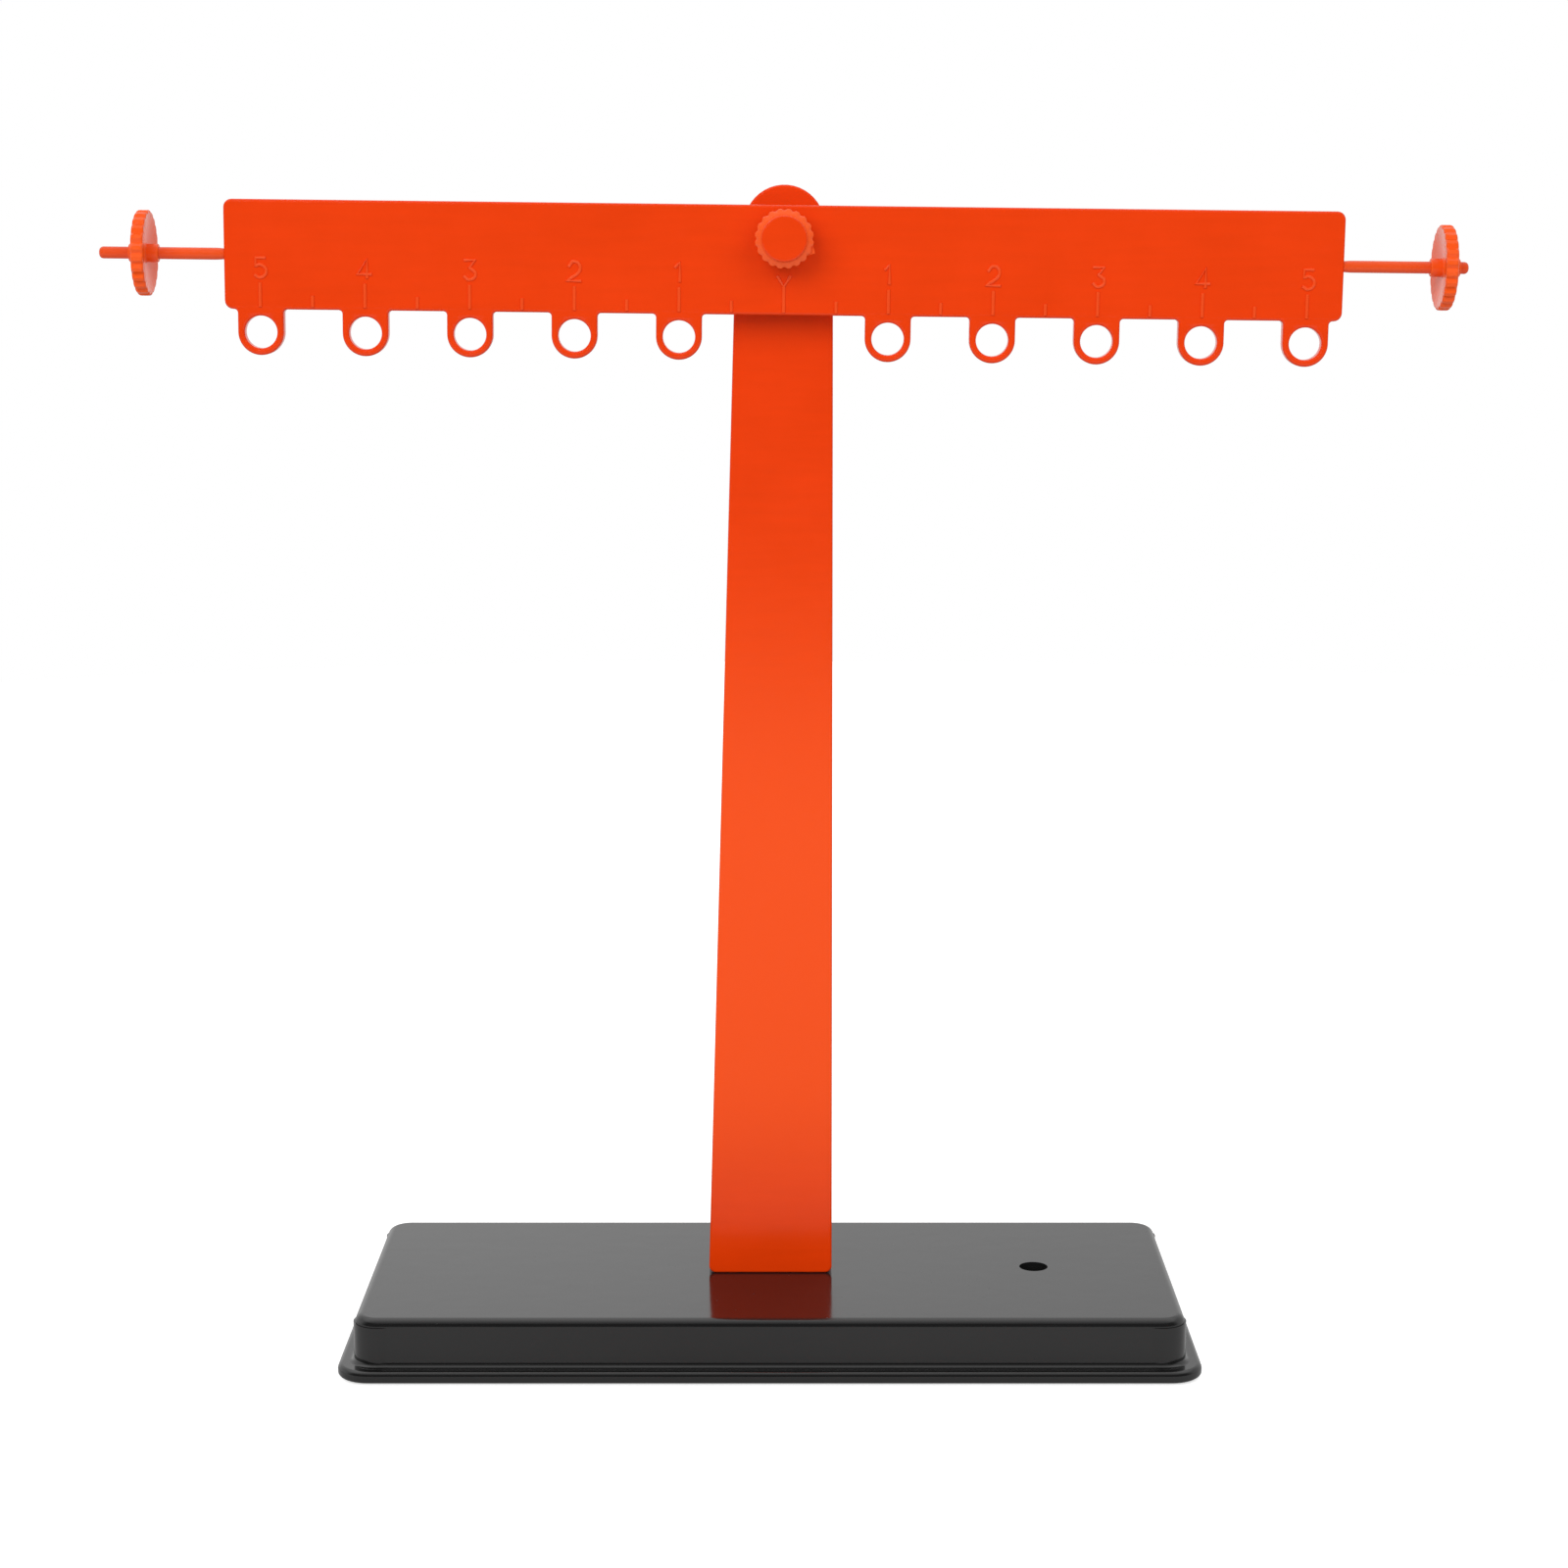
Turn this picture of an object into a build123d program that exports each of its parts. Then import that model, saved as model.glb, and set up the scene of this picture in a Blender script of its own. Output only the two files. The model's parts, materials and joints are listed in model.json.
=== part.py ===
from build123d import *
import os
from math import cos, pi, radians, sin, tan

# Lever balance: a numbered beam with hanging rings, swinging on a pivot at the
# head of a tapered post that stands in a shallow tray base. Millimetres.
# +X runs along the beam to the right, +Y goes away from the numbered face and
# +Z is up. The origin is on the table, straight below the pivot.
# "Forward" is a distance towards the numbered face, which is along -Y.

# Whole object
pivot_height = 220.0
post_offset = 2.85
beam_tilt = 0.65
overrun = 1.0
pick_reach = 0.02
running_gap = 0.1
shaft_clearance = 0.05
seat_clearance = 0.15

# Base tray
base_height = 12.3
tray_width = 162.8
tray_depth = 62.8
tray_wall = 2.2
tray_corner = 4.6
tray_edge_round = 1.6
tray_draft = 1.5
flange_reach = 3.4
flange_corner = 6.5
flange_height = 2.4
flange_top_round = 1.0
flange_foot_round = 0.8
flange_root = 1.1
storage_hole_radius = 2.9
storage_hole_offset = 53.9
storage_hole_setback = 1.0
storage_hole_collar = 1.5
collar_depth = 1.1

# Feet under the tray
foot_pad_radius = 4.0
foot_pad_thickness = 1.2
foot_pad_proud = 0.4
foot_pad_inset = 8.2
foot_pad_round = 0.3
foot_boss_wall = 1.2

# Post
post_depth = 6.2
post_foot_width = 25.0
post_shoulder_width = 19.0
post_shoulder_drop = 8.0
post_shoulder_round = 24.0
post_head_radius = 7.8
post_head_rise = 2.4
post_foot_round = 1.4
post_edge_round = 0.5
post_face = 2.0
post_wall = 1.9
post_rib = 1.6
post_bays = 6
post_bay_round = 1.5
post_hub_radius = 5.6
post_foot_block = 14.0
tenon_step = 2.6
tenon_inset = 0.9
tenon_length = 4.5
socket_wall = 1.8

# Screws that hold the post down, put in from below
post_screw_radius = 1.4
post_screw_length = 11.0
post_screw_spacing = 11.0
post_screw_head_radius = 2.7
post_screw_head_height = 1.5
post_screw_head_round = 0.5
post_washer_radius = 3.3
post_washer_thickness = 0.6
screw_recess_width = 0.7
screw_recess_depth = 0.8
screw_tip_chamfer = 0.5

# Pivot
axle_radius = 2.0
axle_head_radius = 3.9
axle_head_height = 2.4
axle_head_round = 0.8
pivot_washer_radius = 4.6
pivot_washer_thickness = 0.8
lock_nut_flats = 7.0
lock_nut_thickness = 2.2
lock_nut_chamfer = 0.3

# Beam
beam_above_pivot = 6.3
beam_below_pivot = 14.45
beam_thickness = 3.0
beam_corner = 1.6
beam_end_flat = 0.15
beam_edge_round = 0.35
ring_pitch = 20.0
ring_outer_radius = 4.4
ring_hole_radius = 3.1
ring_drop = 4.3
ring_root_round = 0.7
rod_radius = 1.15
rod_length = 23.95
rod_root_round = 1.3
rod_tip_round = 0.8

# Raised marks on the beam
scale_mark_width = 0.65
scale_mark_relief = 0.3
scale_mark_length = 4.6
half_mark_length = 2.2
centre_mark_length = 4.9
centre_arm_length = 2.4
centre_arm_angle = 32.0
numeral_width = 2.7
numeral_height = 3.7
numeral_gap = 0.95
# Points of each numeral's strokes, in its width from its middle and in its height from its foot
numeral_shares = {
    1: {"line": [(-0.3, 0.74), (0.05, 1), (0.05, 0)]},
    2: {"arc": [(-0.42, 0.72), (0, 1), (0.42, 0.7)], "line": [(0.42, 0.7), (-0.5, 0), (0.5, 0)]},
    3: {"line": [(-0.4, 1), (0.4, 1), (0, 0.62)], "arc": [(0, 0.62), (0.42, 0.31), (-0.4, 0.2)]},
    4: {"line": [(0.17, 0), (0.17, 1), (-0.5, 0.22)], "bar": [(-0.5, 0.22), (0.5, 0.22)]},
    5: {"line": [(0.42, 1), (-0.28, 1), (-0.3, 0.59)], "arc": [(-0.3, 0.59), (0.46, 0.33), (-0.38, 0.14)]},
}

# Balance nuts on the rods
nut_radius = 8.15
nut_thickness = 2.4
nut_dish = 1.05
nut_bow_share = 0.25
nut_teeth = 24
nut_groove_radius = 0.75
nut_groove_depth = 0.45
nut_hub_radius = 1.75
nut_hub_inner = 3.8
nut_hub_outer = 1.9
nut_hub_chamfer = 0.3
nut_rim_round = 0.6
left_nut_reach = 16.35
right_nut_reach = 20.4

# Thumb knob
knob_radius = 5.6
knob_teeth = 20
knob_tooth_share = 0.6
knob_tooth_depth = 0.4
knob_rim_front_chamfer = 1.05
knob_rim_back_round = 0.4
knob_rim_thickness = 3.8
knob_collar_radius = 4.2
knob_collar_length = 1.4
knob_cap_radius = 4.35
knob_cap_height = 0.7
knob_cap_round = 0.35
knob_insert_radius = 3.1
knob_insert_length = 3.6

# Moulding gate left on the knob's rim: a pointed flat tag, with the angles of its root, tip and root
knob_gate_angles = (-6.0, -25.0, -38.0)
knob_gate_reach = 0.8
knob_gate_thickness = 1.3

# Places worked out from the sizes
tray_x = -post_offset
tray_bottom = foot_pad_proud
tray_inside_top = base_height - tray_wall
post_front = post_depth / 2
rear_washer_back = post_front + lock_nut_thickness
beam_back = rear_washer_back + pivot_washer_thickness + running_gap
beam_front = beam_back + beam_thickness
beam_middle = beam_back + beam_thickness / 2
front_washer_back = beam_front + running_gap
knob_back = front_washer_back + pivot_washer_thickness + running_gap
knob_rim_back = knob_back + knob_collar_length
knob_rim_front = knob_rim_back + knob_rim_thickness
axle_tip = knob_back + knob_insert_length
rings_per_side = len(numeral_shares)
last_ring_reach = ring_pitch * rings_per_side + ring_outer_radius
beam_half_length = last_ring_reach + ring_root_round + beam_end_flat + beam_corner
rod_drop = (beam_below_pivot - beam_above_pivot) / 2
ring_centre_drop = beam_below_pivot + ring_drop
tenon_width = post_foot_width - 2 * tenon_step
tenon_depth = post_depth - 2 * tenon_inset
tenon_bottom = tray_inside_top - tenon_length
socket_floor_top = tenon_bottom - seat_clearance
socket_floor_bottom = socket_floor_top - socket_wall
beam_place = Pos(0, 0, pivot_height) * Rot(0, beam_tilt, 0)


def faced(outline, back, thickness):
    """A flat outline in X and Z, from a forward distance and thickened forward."""
    return extrude(Plane.XZ.offset(back) * outline, amount=thickness)


def disc(radius, x, z, back, thickness):
    """A round bar along Y."""
    return faced(Pos(x, z) * Circle(radius), back, thickness)


def upright(x, y, radius, bottom, top):
    """A round bar along Z."""
    return Pos(x, y, bottom) * extrude(Circle(radius), amount=top - bottom)


def foot_places():
    """Centres of the four feet, by name."""
    half_x = tray_width / 2 + flange_reach - foot_pad_inset
    half_y = tray_depth / 2 + flange_reach - foot_pad_inset
    return {
        f"foot_{row}_{side}": (tray_x + half_x * sx, half_y * sy)
        for row, sy in (("front", -1), ("rear", 1))
        for side, sx in (("left", -1), ("right", 1))
    }


def post_screw_places():
    """X positions of the two screws that hold the post down."""
    return [tray_x + side * post_screw_spacing / 2 for side in (-1, 1)]


def tray_shell():
    """The tray's outer form less its hollow."""
    height = base_height - tray_bottom
    spread = 2 * height * tan(radians(tray_draft))
    wall_foot = RectangleRounded(tray_width + spread, tray_depth + spread, tray_corner + spread / 2)
    body = extrude(wall_foot, amount=height, taper=tray_draft)
    body = fillet(body.edges().group_by(Axis.Z)[-1], tray_edge_round)
    flange_outline = RectangleRounded(
        tray_width + 2 * flange_reach, tray_depth + 2 * flange_reach, flange_corner
    )
    flange = extrude(flange_outline, amount=flange_height)
    flange = fillet(flange.edges().group_by(Axis.Z)[-1], flange_top_round)
    flange = fillet(flange.edges().group_by(Axis.Z)[0], flange_foot_round)
    shell = body + flange
    roots = shell.edges().filter_by(lambda e: abs(e.center().Z - flange_height) < pick_reach)
    roots = [e for e in roots if abs(e.center().X) < tray_width / 2 + flange_reach / 2]
    roots = [e for e in roots if abs(e.center().Y) < tray_depth / 2 + flange_reach / 2]
    shell = fillet(roots, flange_root)
    hollow_outline = RectangleRounded(
        tray_width + spread - 2 * tray_wall, tray_depth + spread - 2 * tray_wall, tray_corner - tray_wall / 2
    )
    hollow = extrude(hollow_outline, amount=height - tray_wall, taper=tray_draft)
    below = Pos(0, 0, -overrun) * extrude(hollow_outline, amount=overrun)
    return Pos(tray_x, 0, tray_bottom) * (shell - hollow - below)


def post_socket():
    """The socket under the tray's top that the post's tenon goes into, and the space in it."""
    slot = Rectangle(tenon_width + 2 * seat_clearance, tenon_depth + 2 * seat_clearance)
    slot = extrude(slot, amount=base_height + overrun - socket_floor_top)
    block = Rectangle(
        tenon_width + 2 * (seat_clearance + socket_wall), tenon_depth + 2 * (seat_clearance + socket_wall)
    )
    block = extrude(block, amount=base_height - tray_edge_round - socket_floor_bottom)
    return Pos(tray_x, 0, socket_floor_bottom) * block, Pos(tray_x, 0, socket_floor_top) * slot


def base_tray():
    """Tray with its flange, the post's socket, corner bosses and the storage hole."""
    tray = tray_shell()
    inside_top = base_height - tray_edge_round
    for x, y in foot_places().values():
        tray += upright(x, y, foot_pad_radius + foot_boss_wall, tray_bottom, inside_top)
        tray -= upright(x, y, foot_pad_radius + shaft_clearance, tray_bottom - overrun, foot_pad_thickness)
    block, slot = post_socket()
    tray = tray + block - slot
    for x in post_screw_places():
        screw_hole = post_screw_radius + seat_clearance
        tray -= upright(x, 0, screw_hole, socket_floor_bottom - overrun, socket_floor_top + overrun)
    hole_x = tray_x + storage_hole_offset
    hole_y = storage_hole_setback
    collar = storage_hole_radius + storage_hole_collar
    tray += upright(hole_x, hole_y, collar, tray_inside_top - collar_depth, inside_top)
    return tray - upright(hole_x, hole_y, storage_hole_radius, tray_bottom, base_height + overrun)


def foot_pad(x, y):
    """One soft pad in its recess, with a rounded rim."""
    pad = upright(x, y, foot_pad_radius, 0, foot_pad_thickness)
    return fillet(pad.edges().group_by(Axis.Z)[0], foot_pad_round)


def post_outline():
    """Front view of the post: tapered, leaning to the pivot, with a round head."""
    lean_share = post_shoulder_drop / (pivot_height - base_height)
    shoulder_x = -post_offset * lean_share
    shoulder_z = pivot_height - post_shoulder_drop
    foot_half = post_foot_width / 2
    shoulder_half = post_shoulder_width / 2
    head = Pos(0, pivot_height + post_head_rise) * Circle(post_head_radius)
    trunk = Polyline(
        (-post_offset - foot_half, base_height),
        (-post_offset + foot_half, base_height),
        (shoulder_x + shoulder_half, shoulder_z),
        (shoulder_x - shoulder_half, shoulder_z),
        close=True,
    )
    outline = make_hull(head.edges() + trunk.edges())
    shoulders = outline.vertices().filter_by(lambda v: abs(v.Y - shoulder_z) < pick_reach)
    outline = fillet(shoulders, post_shoulder_round)
    feet = outline.vertices().filter_by(lambda v: abs(v.Y - base_height) < pick_reach)
    return fillet(feet, post_foot_round)


def post_bays_cut(outline):
    """The pockets in the post's back, with ribs left between them."""
    inside = offset(outline, amount=-post_wall)
    bottom = base_height + post_foot_block
    top = pivot_height + post_head_rise + post_head_radius
    last_bay = pivot_height - 2 * post_hub_radius
    pitch = (last_bay - bottom) / post_bays
    bays = []
    for bay in range(post_bays + 1):
        low = bottom + bay * pitch + post_rib / 2
        high = low + pitch - post_rib if bay < post_bays else top
        window = Pos(-post_offset / 2, (low + high) / 2) * Rectangle(2 * post_foot_width, high - low)
        pocket = inside & window
        if bay < post_bays:
            pocket = fillet(pocket.vertices(), post_bay_round)
        else:
            pocket -= Pos(0, pivot_height) * Circle(post_hub_radius)
            pocket = pocket.faces().sort_by(SortBy.AREA)[-1]
        bays.append(faced(pocket, -post_front - overrun, post_depth - post_face + overrun))
    return bays


def post():
    """Channel-backed post with a tenon, a hub for the axle and two pilot holes."""
    outline = post_outline()
    body = faced(outline, -post_front, post_depth)
    front_edges = body.edges().group_by(Axis.Y)[0].filter_by(lambda e: e.center().Z > base_height + overrun)
    body = fillet(front_edges, post_edge_round)
    for bay in post_bays_cut(outline):
        body -= bay
    tenon = Rectangle(tenon_width, tenon_depth)
    body += Pos(-post_offset, 0, tenon_bottom) * extrude(tenon, amount=base_height + overrun - tenon_bottom)
    for x in post_screw_places():
        pilot_top = socket_floor_bottom - post_washer_thickness + post_screw_length + overrun
        body -= upright(x, 0, post_screw_radius + shaft_clearance, tenon_bottom - overrun, pilot_top)
    hole = axle_radius + shaft_clearance
    return body - disc(hole, 0, pivot_height, -post_front - overrun, post_depth + 2 * overrun)


def cross_recess(radius, depth):
    """A cross-shaped driver recess, centred on its mouth."""
    arm = Box(2 * radius, screw_recess_width, 2 * depth)
    return arm + Rot(0, 0, 90) * arm


def post_screws():
    """The two self-tapping screws, heads down."""
    screws = []
    head_top = socket_floor_bottom - post_washer_thickness
    head_bottom = head_top - post_screw_head_height
    for x in post_screw_places():
        head = upright(x, 0, post_screw_head_radius, head_bottom, head_top)
        head = fillet(head.edges().group_by(Axis.Z)[0], post_screw_head_round)
        shank = upright(x, 0, post_screw_radius, head_top, head_top + post_screw_length)
        shank = chamfer(shank.edges().group_by(Axis.Z)[-1], screw_tip_chamfer)
        recess = Pos(x, 0, head_bottom) * cross_recess(post_screw_radius, screw_recess_depth)
        screws.append(head + shank - recess)
    return Compound(children=screws)


def post_washers():
    """The two washers under the post screws' heads."""
    bottom = socket_floor_bottom - post_washer_thickness
    hole = post_screw_radius + seat_clearance
    rings = []
    for x in post_screw_places():
        ring = upright(x, 0, post_washer_radius, bottom, socket_floor_bottom)
        rings.append(ring - upright(x, 0, hole, bottom - overrun, socket_floor_bottom + overrun))
    return Compound(children=rings)


def pivot_axle():
    """Pan-head screw through the post's head: its shank is the beam's axle."""
    head_front = -post_front - pivot_washer_thickness
    shank_length = axle_tip - head_front
    head = disc(axle_head_radius, 0, pivot_height, head_front - axle_head_height, axle_head_height)
    head = fillet(head.edges().group_by(Axis.Y)[-1], axle_head_round)
    shank = disc(axle_radius, 0, pivot_height, head_front, shank_length)
    shank = chamfer(shank.edges().group_by(Axis.Y)[0], screw_tip_chamfer)
    recess = Rot(90, 0, 0) * cross_recess(axle_radius, screw_recess_depth)
    recess = Pos(0, axle_head_height - head_front, pivot_height) * recess
    return head + shank - recess


def pivot_washer(back):
    """A flat washer on the axle."""
    ring = disc(pivot_washer_radius, 0, pivot_height, back, pivot_washer_thickness)
    hole = axle_radius + shaft_clearance
    return ring - disc(hole, 0, pivot_height, back - overrun, pivot_washer_thickness + 2 * overrun)


def axle_lock_nut():
    """Thin hexagon nut that holds the axle still and spaces the beam off the post."""
    hexagon = Pos(0, pivot_height) * RegularPolygon(lock_nut_flats / 2, 6, major_radius=False)
    nut = faced(hexagon, post_front, lock_nut_thickness)
    nut = chamfer(nut.edges().group_by(Axis.Y)[0], lock_nut_chamfer)
    hole = axle_radius + shaft_clearance
    return nut - disc(hole, 0, pivot_height, post_front - overrun, lock_nut_thickness + 2 * overrun)


def ring_positions():
    """X positions of the rings along the beam, from the pivot."""
    steps = range(1, rings_per_side + 1)
    return [side * ring_pitch * step for side in (-1, 1) for step in steps]


def beam_outline():
    """Front view of the beam about its pivot, with its tabs and ring holes."""
    height = beam_above_pivot + beam_below_pivot
    outline = RectangleRounded(2 * beam_half_length, height, beam_corner)
    outline = Pos(0, beam_above_pivot - height / 2) * outline
    tab = Pos(0, -ring_centre_drop) * Circle(ring_outer_radius)
    neck_top = -beam_below_pivot + beam_corner
    neck_height = neck_top + ring_centre_drop
    tab += Pos(0, neck_top - neck_height / 2) * Rectangle(2 * ring_outer_radius, neck_height)
    for x in ring_positions():
        outline += Pos(x, 0) * tab
    sides = [x + side * ring_outer_radius for x in ring_positions() for side in (-1, 1)]
    roots = outline.vertices().filter_by(lambda v: abs(v.Y + beam_below_pivot) < pick_reach)
    roots = [v for v in roots if min(abs(v.X - x) for x in sides) < pick_reach]
    outline = fillet(roots, ring_root_round)
    for x in ring_positions():
        outline -= Pos(x, -ring_centre_drop) * Circle(ring_hole_radius)
    return outline - Circle(axle_radius + shaft_clearance)


def raised(mark):
    """A flat mark raised on the beam's face, and rooted as deep in it."""
    return faced(mark, beam_front - scale_mark_relief, 2 * scale_mark_relief)


def raised_bar(x, z, length, angle=0.0):
    """A raised line that hangs down from a point."""
    bar = Pos(x, z) * Rot(0, 0, angle) * Pos(0, -length / 2) * Rectangle(scale_mark_width, length)
    return raised(bar)


def numeral_lines(digit):
    """Centre lines of a numeral's strokes, from its own middle and foot."""
    strokes = {
        kind: [(x_share * numeral_width, z_share * numeral_height) for x_share, z_share in points]
        for kind, points in numeral_shares[digit].items()
    }
    lines = [Polyline(strokes["line"])]
    if "arc" in strokes:
        lines[0] += ThreePointArc(*strokes["arc"])
    if "bar" in strokes:
        lines.append(Line(*strokes["bar"]))
    return lines


def numeral(digit, x, foot):
    """One raised numeral."""
    strokes = Sketch()
    for line in numeral_lines(digit):
        rim = offset(Wire(line.edges()), amount=scale_mark_width / 2, side=Side.BOTH)
        strokes += make_face(rim.edges())
    return raised(Pos(x, foot) * strokes)


def scale_marks():
    """A numeral and a line over each ring, short lines between, and a Y in the middle."""
    edge = -beam_below_pivot + beam_edge_round
    foot = edge + scale_mark_length + numeral_gap
    marks = [raised_bar(x, edge + scale_mark_length, scale_mark_length) for x in ring_positions()]
    marks += [numeral(round(abs(x) / ring_pitch), x, foot) for x in ring_positions()]
    halves = [x - ring_pitch / 2 * (1 if x > 0 else -1) for x in ring_positions()]
    marks += [raised_bar(x, edge + half_mark_length, half_mark_length) for x in halves]
    fork = edge + centre_mark_length
    marks.append(raised_bar(0, fork, centre_mark_length))
    marks += [raised_bar(0, fork, centre_arm_length, 180 + side * centre_arm_angle) for side in (-1, 1)]
    return marks


def rod():
    """The right-hand end rod with its flared root, from just inside the beam's end."""
    section = Plane.YZ.offset(beam_half_length - overrun) * Circle(rod_radius)
    bar = extrude(section, amount=rod_length + overrun)
    bar = fillet(bar.edges().group_by(Axis.X)[-1], rod_tip_round)
    root = beam_half_length - beam_edge_round
    flare = loft([
        Plane.YZ.offset(root) * Circle(rod_radius + rod_root_round),
        Plane.YZ.offset(root + rod_root_round) * Circle(rod_radius),
    ])
    flare &= Pos(root, 0, 0) * Box(4 * rod_root_round, beam_thickness, 4 * rod_length)
    return Pos(0, -beam_middle, -rod_drop) * (bar + flare)


def beam():
    """The beam moulding: plate, rings, raised scale and both end rods."""
    plate = faced(beam_outline(), beam_back, beam_thickness)
    rims = [plate.faces().sort_by(Axis.Y)[k].outer_wire().edges() for k in (0, -1)]
    plate = fillet([*rims[0], *rims[1]], beam_edge_round)
    right = rod()
    plate += [right, mirror(right, about=Plane.YZ)]
    for mark in scale_marks():
        plate += mark
    return beam_place * plate


def nut_disc():
    """The dished disc of a balance nut, turned about X, convex towards +X."""
    half = nut_thickness / 2
    middle = nut_radius / 2
    bow = nut_dish * nut_bow_share
    outer = ThreePointArc((half, 0), (half - bow, middle), (half - nut_dish, nut_radius))
    inner = ThreePointArc((-half, 0), (-half - bow, middle), (-half - nut_dish, nut_radius))
    rim = Line(outer @ 1, inner @ 1)
    axis = Line(inner @ 0, outer @ 0)
    profile = make_face([*outer.edges(), *rim.edges(), *inner.edges(), *axis.edges()])
    rim_corners = profile.vertices().filter_by(lambda v: abs(v.Y - nut_radius) < pick_reach)
    profile = fillet(rim_corners, nut_rim_round)
    return revolve(profile, axis=Axis.X)


def balance_nut(side, reach):
    """Thumb nut on an end rod, its serrated rim curling towards the beam."""
    nut = nut_disc()
    bar = Plane.YZ.offset(-nut_hub_inner) * Circle(nut_hub_radius)
    hub = extrude(bar, amount=nut_hub_inner + nut_hub_outer)
    nut += chamfer(hub.edges().filter_by(GeomType.CIRCLE), nut_hub_chamfer)
    groove_centre = nut_radius + nut_groove_radius - nut_groove_depth
    groove_reach = nut_thickness + nut_dish + overrun
    for tooth in range(nut_teeth):
        turn = 2 * pi * tooth / nut_teeth
        place = Pos(-groove_reach, groove_centre * cos(turn), groove_centre * sin(turn))
        nut -= place * extrude(Plane.YZ * Circle(nut_groove_radius), amount=2 * groove_reach)
    bore = Plane.YZ.offset(-nut_hub_inner - overrun) * Circle(rod_radius + shaft_clearance)
    nut -= extrude(bore, amount=nut_hub_inner + nut_hub_outer + 2 * overrun)
    nut = Pos(beam_half_length + reach, -beam_middle, -rod_drop) * nut
    return beam_place * (nut if side > 0 else mirror(nut, about=Plane.YZ))


def knob_rim():
    """The knob's serrated band, about Y at zero height."""
    blank = disc(knob_radius, 0, 0, knob_rim_back, knob_rim_thickness)
    blank = chamfer(blank.edges().group_by(Axis.Y)[0], knob_rim_front_chamfer)
    blank = fillet(blank.edges().group_by(Axis.Y)[-1], knob_rim_back_round)
    tooth_radius = knob_tooth_share * pi * knob_radius / knob_teeth
    reach = knob_radius - tooth_radius
    teeth = Circle(knob_radius - knob_tooth_depth)
    for tooth in range(knob_teeth):
        turn = 2 * pi * tooth / knob_teeth
        teeth += Pos(reach * cos(turn), reach * sin(turn)) * Circle(tooth_radius)
    return faced(teeth, knob_rim_back, knob_rim_thickness) & blank


def knob_gate():
    """The flat tag that the moulding gate left on the rim's middle."""
    root = knob_radius - knob_tooth_depth
    reaches = (root, knob_radius + knob_gate_reach, root)
    turns = [radians(angle) for angle in knob_gate_angles]
    corners = [(reach * cos(turn), reach * sin(turn)) for reach, turn in zip(reaches, turns)]
    tag = make_face(Polyline(*corners, (0, 0), close=True).edges())
    return faced(tag, (knob_rim_back + knob_rim_front - knob_gate_thickness) / 2, knob_gate_thickness)


def thumb_knob():
    """Serrated knob with a collar behind, a smooth cap in front and its moulding gate."""
    collar = disc(knob_collar_radius, 0, 0, knob_back, knob_collar_length + overrun)
    cap = disc(knob_cap_radius, 0, 0, knob_rim_front - overrun, knob_cap_height + overrun)
    cap = fillet(cap.edges().group_by(Axis.Y)[0], knob_cap_round)
    knob = collar + knob_rim() + cap + knob_gate()
    mouth = knob_back - overrun
    knob -= disc(knob_insert_radius + shaft_clearance, 0, 0, mouth, knob_insert_length + overrun)
    hole_depth = knob_insert_length + screw_tip_chamfer
    knob -= disc(axle_radius + seat_clearance, 0, 0, mouth, hole_depth + overrun)
    return Pos(0, 0, pivot_height) * knob


def knob_insert():
    """Brass insert in the knob that turns on the axle's end."""
    tube = disc(knob_insert_radius, 0, pivot_height, knob_back, knob_insert_length)
    hole = axle_radius + shaft_clearance
    return tube - disc(hole, 0, pivot_height, knob_back - overrun, knob_insert_length + 2 * overrun)


if __name__ == "__main__":
    os.makedirs("parts", exist_ok=True)
    pieces = {
        "base_tray": base_tray(),
        "post": post(),
        "post_screws": post_screws(),
        "post_washers": post_washers(),
        "pivot_axle": pivot_axle(),
        "axle_head_washer": pivot_washer(-post_front - pivot_washer_thickness),
        "axle_lock_nut": axle_lock_nut(),
        "beam_rear_washer": pivot_washer(rear_washer_back),
        "beam": beam(),
        "beam_front_washer": pivot_washer(front_washer_back),
        "thumb_knob": thumb_knob(),
        "knob_insert": knob_insert(),
        "left_balance_nut": balance_nut(-1, left_nut_reach),
        "right_balance_nut": balance_nut(1, right_nut_reach),
    }
    for name, (x, y) in foot_places().items():
        pieces[name] = foot_pad(x, y)
    for name, piece in pieces.items():
        export_step(piece, f"parts/{name}.step")
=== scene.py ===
import json
from math import atan2, cos, hypot, pi, radians, sin

import bmesh
import bpy
from mathutils import Matrix, Vector


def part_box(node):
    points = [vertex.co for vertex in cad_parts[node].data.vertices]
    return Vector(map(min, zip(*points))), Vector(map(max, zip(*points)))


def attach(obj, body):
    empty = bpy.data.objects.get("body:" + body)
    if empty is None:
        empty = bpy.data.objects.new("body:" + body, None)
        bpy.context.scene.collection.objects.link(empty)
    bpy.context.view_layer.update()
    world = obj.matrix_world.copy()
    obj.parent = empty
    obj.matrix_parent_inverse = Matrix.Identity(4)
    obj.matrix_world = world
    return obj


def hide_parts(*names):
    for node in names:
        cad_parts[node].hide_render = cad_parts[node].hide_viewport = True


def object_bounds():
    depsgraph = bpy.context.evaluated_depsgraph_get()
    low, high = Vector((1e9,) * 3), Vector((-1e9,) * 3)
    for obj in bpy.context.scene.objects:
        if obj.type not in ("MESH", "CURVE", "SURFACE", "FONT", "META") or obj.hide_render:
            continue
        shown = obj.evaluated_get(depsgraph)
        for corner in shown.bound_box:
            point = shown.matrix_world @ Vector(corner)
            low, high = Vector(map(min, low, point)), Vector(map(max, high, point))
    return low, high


# Finish of a lever balance: a numbered beam with hanging rings on a tapered post,
# which stands in a glossy black tray. Metres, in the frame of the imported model:
# +X along the beam to the right, +Y away from the numbered face, +Z up.

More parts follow.
